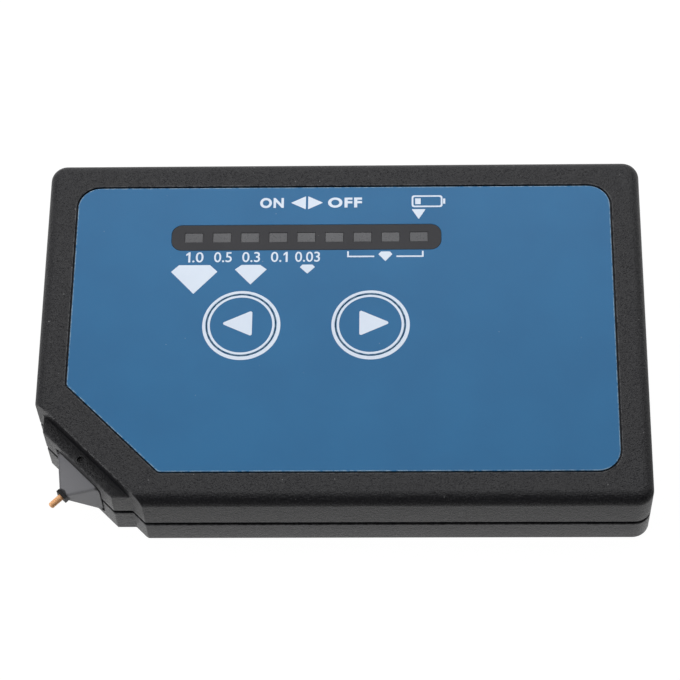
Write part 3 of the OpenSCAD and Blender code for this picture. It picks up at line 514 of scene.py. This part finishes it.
def addFilm(build, base, outer, inner=None):
    def ring(points, z):
        return [build.verts.new((x, y, z)) for x, y in points]

    top = base + inkDepth
    outerLow, outerHigh = ring(outer, base), ring(outer, top)
    bridge(build, outerLow, outerHigh)
    if inner:
        innerLow, innerHigh = ring(inner, base), ring(inner, top)
        bridge(build, innerHigh, innerLow)
        bridge(build, outerHigh, innerHigh)
        bridge(build, innerLow, outerLow)
    else:
        build.faces.new(outerHigh)
        build.faces.new(outerLow[::-1])


def printMarks(name, shapes, body="case", base=filmTop):
    # a shape is its outline, and the outline of its hole if it has one
    build = bmesh.new()
    for shape in shapes:
        addFilm(build, base, *shape)
    mesh = bpy.data.meshes.new(name)
    closeMesh(build, mesh)
    addPiece(name, mesh, body, printWhite)


letterDraft = {"extrude": 0.5, "curveSteps": 8, "weldGap": 1e-5}


def printLetters(name, text, area, weight, spread=1.0):
    curve = bpy.data.curves.new(name, "FONT")
    curve.body = text
    curve.offset = weight
    curve.space_character = spread
    curve.extrude = letterDraft["extrude"]
    curve.resolution_u = letterDraft["curveSteps"]
    holder = bpy.data.objects.new(name + ".draft", curve)
    scene.collection.objects.link(holder)
    bpy.context.view_layer.update()
    mesh = bpy.data.meshes.new_from_object(holder.evaluated_get(bpy.context.evaluated_depsgraph_get()))
    bpy.data.objects.remove(holder)
    build = bmesh.new()
    build.from_mesh(mesh)
    bmesh.ops.remove_doubles(build, verts=build.verts, dist=letterDraft["weldGap"])
    for axis, (low, high) in enumerate([area[:2], area[2:]]):
        values = [v.co[axis] for v in build.verts]
        start, size = min(values), max(values) - min(values)
        for v in build.verts:
            v.co[axis] = low + (v.co[axis] - start) / size * (high - low)
    for v in build.verts:
        v.co.z = filmTop + (v.co.z + letterDraft["extrude"]) * inkDepth
    mesh.materials.clear()
    closeMesh(build, mesh)
    addPiece(name, mesh, "case", printWhite)


lampMarks = {
    "count": 9, "window": 3.2 * mm, "shift": 0.3 * mm,
    "numbers": ["1.0", "0.5", "0.3", "0.1", "0.03"],
    "widths": [3.13 * mm, 3.19 * mm, 3.19 * mm, 3.0 * mm, 4.47 * mm],
    "below": 0.42 * mm, "height": 2.1 * mm, "weight": 0.008,
}
oneMark = {  # the font's own figure one has no flag
    "width": 0.76 * mm, "stem": 0.36 * mm, "gap": 0.36 * mm,
    "topShare": 0.75, "flagTop": 0.2, "flagFoot": 0.37, "notch": 0.25,
}
lampPitch = (lampHigh.x - lampLow.x - lampMarks["window"]) / (lampMarks["count"] - 1)


def lampX(index):
    return lampLow.x + lampMarks["window"] / 2 + index * lampPitch


def onePoints(right, low, high):
    left = right - oneMark["width"]
    stemLeft = right - oneMark["stem"]
    topLeft = right - oneMark["topShare"] * oneMark["stem"]
    tall = high - low
    return [(stemLeft, low), (right, low), (right, high), (topLeft, high),
            (left, high - oneMark["flagTop"] * tall), (left, high - oneMark["flagFoot"] * tall),
            (stemLeft, high - oneMark["notch"] * tall)]


def printNumber(text, left, width, low, high):
    name = "number_" + text
    oneFirst = text.startswith("1")
    oneRoom = oneMark["width"] + oneMark["gap"] if "1" in text else 0.0
    restLeft = left + oneRoom if oneFirst else left
    area = (restLeft, restLeft + width - oneRoom, low, high)
    printLetters(name, text.replace("1", ""), area, lampMarks["weight"])
    if "1" in text:
        right = left + oneMark["width"] if oneFirst else left + width
        printMarks(name + "_one", [[onePoints(right, low, high)]])


numberTop = barLow.y - lampMarks["below"]
numberLow = numberTop - lampMarks["height"]
for k, (text, width) in enumerate(zip(lampMarks["numbers"], lampMarks["widths"])):
    left = lampX(k) + lampMarks["shift"] - width / 2
    printNumber(text, left, width, numberLow, numberTop)

switchMarks = {  # distances to the right are counted from the first lamp's middle
    "words": {"ON": (11.8 * mm, 4.32 * mm), "OFF": (24.17 * mm, 6.17 * mm)},  # left end and width
    "above": 3.58 * mm, "height": 2.15 * mm, "weight": 0.04, "spread": 1.15,
    "arrowMiddle": 20.34 * mm, "arrowLength": 2.7 * mm, "arrowHeight": 2.75 * mm, "arrowGap": 0.42 * mm,
    "arrowCorner": 0.05 * mm,
}
switchLow = barHigh.y + switchMarks["above"]
switchHigh = switchLow + switchMarks["height"]
for word, (start, width) in switchMarks["words"].items():
    left = lampX(0) + start
    area = (left, left + width, switchLow, switchHigh)
    printLetters("word_" + word.lower(), word, area, switchMarks["weight"], switchMarks["spread"])

arrowX = lampX(0) + switchMarks["arrowMiddle"]
arrowY = switchLow + switchMarks["height"] / 2
heads = []
for side in (-1, 1):
    start = arrowX + side * switchMarks["arrowGap"] / 2
    heads.append([arrow(start, arrowY, side * switchMarks["arrowLength"], switchMarks["arrowHeight"],
                        switchMarks["arrowCorner"])])
printMarks("switch_arrows", heads)

gemShape = {"below": 0.58 * mm, "corner": 0.06 * mm, "cornerSteps": 3}
gemMarks = [  # lamp that it belongs to, width, width of its flat top, depth of its crown, whole depth
    {"lamp": 0, "width": 8.34 * mm, "top": 5.59 * mm, "crown": 1.37 * mm, "depth": 5.9 * mm},
    {"lamp": 2, "width": 5.72 * mm, "top": 3.33 * mm, "crown": 0.94 * mm, "depth": 4.03 * mm},
    {"lamp": 4, "width": 2.7 * mm, "top": 1.8 * mm, "crown": 0.52 * mm, "depth": 1.86 * mm},
]
gemTop = numberLow - gemShape["below"]


def gemPoints(x, y, gem):
    half, flat, girdle = gem["width"] / 2, gem["top"] / 2, y - gem["crown"]
    points = [(x, y - gem["depth"]), (x + half, girdle), (x + flat, y), (x - flat, y), (x - half, girdle)]
    return roundCorners(points, gemShape["corner"], gemShape["cornerSteps"])


gems = [[gemPoints(lampX(gem["lamp"]) + lampMarks["shift"], gemTop, gem)] for gem in gemMarks]
printMarks("gem_sizes", gems)

rangeMark = {
    "from": 5, "to": 8, "reach": 0.85 * mm, "inset": 3.2 * mm,
    "line": 0.3 * mm, "tick": 1.1 * mm, "gap": 2.0 * mm,
    "gem": {"width": 2.5 * mm, "top": 1.6 * mm, "crown": 0.55 * mm, "depth": 2.0 * mm},
}
rangeLeft = lampX(rangeMark["from"]) - rangeMark["reach"] + rangeMark["inset"]
rangeRight = lampX(rangeMark["to"]) + rangeMark["reach"]
rangeMiddle = (rangeLeft + rangeRight) / 2
rangeY = numberTop - lampMarks["height"] / 2
halfLine = rangeMark["line"] / 2
strokes = [[gemPoints(rangeMiddle, rangeY + rangeMark["gem"]["depth"] / 2, rangeMark["gem"])]]
for end, side in [(rangeLeft, -1), (rangeRight, 1)]:
    x0, x1 = sorted((end, rangeMiddle + side * rangeMark["gap"]))
    tickX = end - side * halfLine
    strokes.append([boxPoints(x0, x1, rangeY - halfLine, rangeY + halfLine)])
    strokes.append([boxPoints(tickX - halfLine, tickX + halfLine, rangeY + halfLine,
                              rangeY + rangeMark["tick"])])
printMarks("range_mark", strokes)

batteryMark = {
    "length": 5.6 * mm, "height": 2.5 * mm, "line": 0.32 * mm, "corner": 0.45 * mm, "above": 3.58 * mm,
    "cap": 0.5 * mm, "capGap": 0.1 * mm, "capHeight": 1.1 * mm, "charge": 1.0 * mm,
    "arrowWidth": 2.54 * mm, "arrowDepth": 2.1 * mm, "arrowAbove": 1.06 * mm, "arrowCorner": 0.08 * mm,
}


def batteryShapes():
    x = lampX(lampMarks["count"] - 1)
    halfArrow, halfCap = batteryMark["arrowWidth"] / 2, batteryMark["capHeight"] / 2
    x0, y0 = x - halfArrow, barHigh.y + batteryMark["above"]
    x1, y1 = x0 + batteryMark["length"], y0 + batteryMark["height"]
    line, corner, middle = batteryMark["line"], batteryMark["corner"], (y0 + y1) / 2
    outline = roundCorners(boxPoints(x0, x1, y0, y1), corner)
    hollow = roundCorners(boxPoints(x0 + line, x1 - line, y0 + line, y1 - line), corner - line / 2)
    cap = boxPoints(x1 + batteryMark["capGap"], x1 + batteryMark["cap"], middle - halfCap, middle + halfCap)
    inset = 2 * line
    charge = boxPoints(x0 + inset, x0 + inset + batteryMark["charge"], y0 + inset, y1 - inset)
    tip = barHigh.y + batteryMark["arrowAbove"]
    back = tip + batteryMark["arrowDepth"]
    corners = [(x - halfArrow, back), (x, tip), (x + halfArrow, back)]
    pointer = roundCorners(corners, batteryMark["arrowCorner"])
    return [[outline, hollow], [cap], [charge], [pointer]]


printMarks("battery_mark", batteryShapes())

keyMarks = {  # rings by their inner and outer radius
    "outerRing": (6.37 * mm, 6.955 * mm), "ringShift": (0.04 * mm, -0.09 * mm),
    "innerRing": (5.55 * mm, 5.96 * mm),
    "arrowLength": 5.55 * mm, "arrowHeight": 5.2 * mm, "arrowBack": 1.95 * mm, "arrowUp": 0.3 * mm,
    "arrowCorner": 0.3 * mm,
}
for side, body in [(-1, "left_button"), (1, "right_button")]:
    keyName = body.replace("button", "key")
    low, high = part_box(keyName)
    centre = ((low.x + high.x) / 2, (low.y + high.y) / 2)
    shifted = (centre[0] + keyMarks["ringShift"][0], centre[1] + keyMarks["ringShift"][1])
    inner, outer = keyMarks["outerRing"]
    printMarks(keyName + "_outer_ring", [[circlePoints(shifted, outer), circlePoints(centre, inner)]])
    inner, outer = keyMarks["innerRing"]
    pointer = arrow(centre[0] - side * keyMarks["arrowBack"], centre[1] + keyMarks["arrowUp"],
                    side * keyMarks["arrowLength"], keyMarks["arrowHeight"], keyMarks["arrowCorner"])
    ring = [circlePoints(centre, outer), circlePoints(centre, inner)]
    printMarks(keyName + "_print", [ring, [pointer]], body, high.z)
print("face printed")


# Probe spring, wound as a coil in place of the CAD spring

springShape = {"wire": 0.36 * mm, "turns": 8, "ringsPerTurn": 24, "sides": 12, "keep": 0.8}


def makeSpring():
    out = Vector((-1, -1, 0)).normalized()
    up = Vector((0, 0, 1))
    across = out.cross(up)
    thick = springShape["wire"] / 2
    points = [v.co for v in cadNodes["probe_spring"].data.vertices]
    along = [p.dot(out) for p in points]
    middle = sum(points, Vector()) / len(points)
    axisPoint = middle - out * middle.dot(out)
    radius = max((p - axisPoint - out * p.dot(out)).length for p in points) - thick
    start, end = min(along) + thick, max(along) - thick
    count = springShape["turns"] * springShape["ringsPerTurn"]
    build = bmesh.new()
    rings = []
    for k in range(count + 1):
        turn = 2 * math.pi * springShape["turns"] * k / count
        spoke = across * math.cos(turn) + up * math.sin(turn)
        centre = axisPoint + out * (start + (end - start) * k / count) + spoke * radius
        ring = []
        for s in range(springShape["sides"]):
            a = 2 * math.pi * s / springShape["sides"]
            ring.append(build.verts.new(centre + (spoke * math.cos(a) + out * math.sin(a)) * thick))
        rings.append(ring)
    for low, high in zip(rings, rings[1:]):
        bridge(build, low, high, smooth=True)
    build.faces.new(rings[0])
    build.faces.new(rings[-1])
    mesh = bpy.data.meshes.new("spring_coil")
    closeMesh(build, mesh)
    piece = addPiece("spring_coil", mesh, "case", finishes["spring_steel"])
    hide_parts("probe_spring")
    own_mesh(piece)


makeSpring()
print("spring wound")


# Camera, stage and light

cameraLook = {
    "place": (14.0144 * mm, -219.022 * mm, 419.9632 * mm), "turn": (28.1302, 1.7006, 0.6142),
    "focal": 2595.0956, "frame": 680, "sensor": 36.0,  # focal length in pixels of the square frame
    "clip": (0.01, 20.0),
}


def makeCamera():
    lens = bpy.data.cameras.new("camera")
    lens.sensor_width = cameraLook["sensor"]
    lens.lens = cameraLook["focal"] / cameraLook["frame"] * cameraLook["sensor"]
    lens.clip_start, lens.clip_end = cameraLook["clip"]
    camera = bpy.data.objects.new("camera", lens)
    camera.location = cameraLook["place"]
    camera.rotation_euler = [math.radians(a) for a in cameraLook["turn"]]
    scene.collection.objects.link(camera)
    scene.camera = camera


floorLook = {  # mirrored is what glossy surfaces see of the floor
    "reach": 4.0, "cells": 4, "drop": 0.02 * mm, "paint": (0.88, 0.88, 0.88), "white": 1.05,
    "shadowShare": 0.07, "mirroredNear": 0.9, "mirroredFront": 0.12, "mirroredRear": 0.65, "fade": 9 * mm,
}


def floorFinish():
    material = bpy.data.materials.new("pale_floor")
    material.use_nodes = True
    tree = material.node_tree
    tree.nodes.clear()
    paint = addNode(tree, "ShaderNodeBsdfDiffuse", None, {"Color": opaque(floorLook["paint"])})
    path = addNode(tree, "ShaderNodeLightPath").outputs
    spot = placeAxes(tree)
    past = [calc(tree, "SUBTRACT", calc(tree, "ABSOLUTE", spot[axis]), cadBox[1][axis]) for axis in (0, 1)]
    away = calc(tree, "MAXIMUM", calc(tree, "MAXIMUM", *past), 0.0)
    fade = calc(tree, "EXPONENT", calc(tree, "DIVIDE", away, -floorLook["fade"]))
    far = remap(tree, spot[1], cadBox[0].y, cadBox[1].y,
                floorLook["mirroredFront"], floorLook["mirroredRear"])
    mirrored = between(tree, fade, far, floorLook["mirroredNear"])
    level = between(tree, path["Is Camera Ray"], mirrored, floorLook["white"])
    glow = addNode(tree, "ShaderNodeEmission", None, {"Strength": level})
    rays = calc(tree, "MAXIMUM", path["Is Glossy Ray"], path["Is Transmission Ray"])
    seen = calc(tree, "MAXIMUM", path["Is Camera Ray"], rays)
    share = calc(tree, "MULTIPLY", seen, 1 - floorLook["shadowShare"])
    white = blendShaders(tree, share, paint, glow)
    below = addNode(tree, "ShaderNodeNewGeometry").outputs["Backfacing"]
    clear = addNode(tree, "ShaderNodeBsdfTransparent")
    face = blendShaders(tree, below, white, clear)  # seen from below, the floor isn't there
    addNode(tree, "ShaderNodeOutputMaterial", None, {"Surface": face.outputs[0]})
    return material


def makeFloor():
    build = bmesh.new()
    bmesh.ops.create_grid(build, x_segments=floorLook["cells"], y_segments=floorLook["cells"],
                          size=floorLook["reach"])
    mesh = bpy.data.meshes.new("floor")
    build.to_mesh(mesh)
    build.free()
    mesh.materials.append(floorFinish())
    floor = bpy.data.objects.new("floor", mesh)
    floor.location.z = cadBox[0].z - floorLook["drop"]
    scene.collection.objects.link(floor)


skyLook = {"dim": 0.03, "bright": 0.78, "from": (0.0, 0.65, 0.76), "falloff": 2.0}


def makeSky():
    world = bpy.data.worlds.new("studio")
    world.use_nodes = True
    tree = world.node_tree
    tree.nodes.clear()
    direction = addNode(tree, "ShaderNodeTexCoord").outputs["Generated"]
    towards = Vector(skyLook["from"]).normalized()
    facing = addNode(tree, "ShaderNodeVectorMath", {"operation": "DOT_PRODUCT"}, {0: direction, 1: towards})
    ahead = calc(tree, "MAXIMUM", facing.outputs["Value"], 0.0)
    level = between(tree, calc(tree, "POWER", ahead, skyLook["falloff"]), skyLook["dim"], skyLook["bright"])
    white = opaque((1.0, 1.0, 1.0))
    room = addNode(tree, "ShaderNodeBackground", None, {"Color": white, "Strength": level})
    backdrop = addNode(tree, "ShaderNodeBackground", None, {"Color": white, "Strength": 1.0})
    seen = addNode(tree, "ShaderNodeLightPath").outputs["Is Camera Ray"]
    both = blendShaders(tree, seen, room, backdrop)
    addNode(tree, "ShaderNodeOutputWorld", None, {"Surface": both.outputs[0]})
    scene.world = world


lampLooks = {
    "rear": {"place": (0.0, 0.22, 0.2), "size": (0.3, 0.2), "power": 0.45, "glossy": False},
    "window": {"place": (0.0, 0.3, 0.34), "size": (0.8, 0.2), "power": 0.42, "glossy": True},
    "strip": {"place": (0.0, 0.035, 0.45), "size": (1.0, 0.03), "power": 0.236, "glossy": True},
    "left": {"place": (-1.3, -0.32, 0.75), "size": (1.0, 1.0), "power": 13.0, "glossy": False},
}


def makeLamps():
    for name, look in lampLooks.items():
        light = bpy.data.lights.new(name, "AREA")
        light.shape = "RECTANGLE"
        light.size, light.size_y = look["size"]
        light.energy = look["power"]
        lamp = bpy.data.objects.new(name, light)
        lamp.location = look["place"]
        lamp.rotation_euler = (-Vector(look["place"])).to_track_quat("-Z", "Y").to_euler()
        lamp.visible_glossy = look["glossy"]
        scene.collection.objects.link(lamp)


makeCamera()
makeFloor()
makeSky()
makeLamps()
scene.view_settings.view_transform = "Standard"
print("stage set")
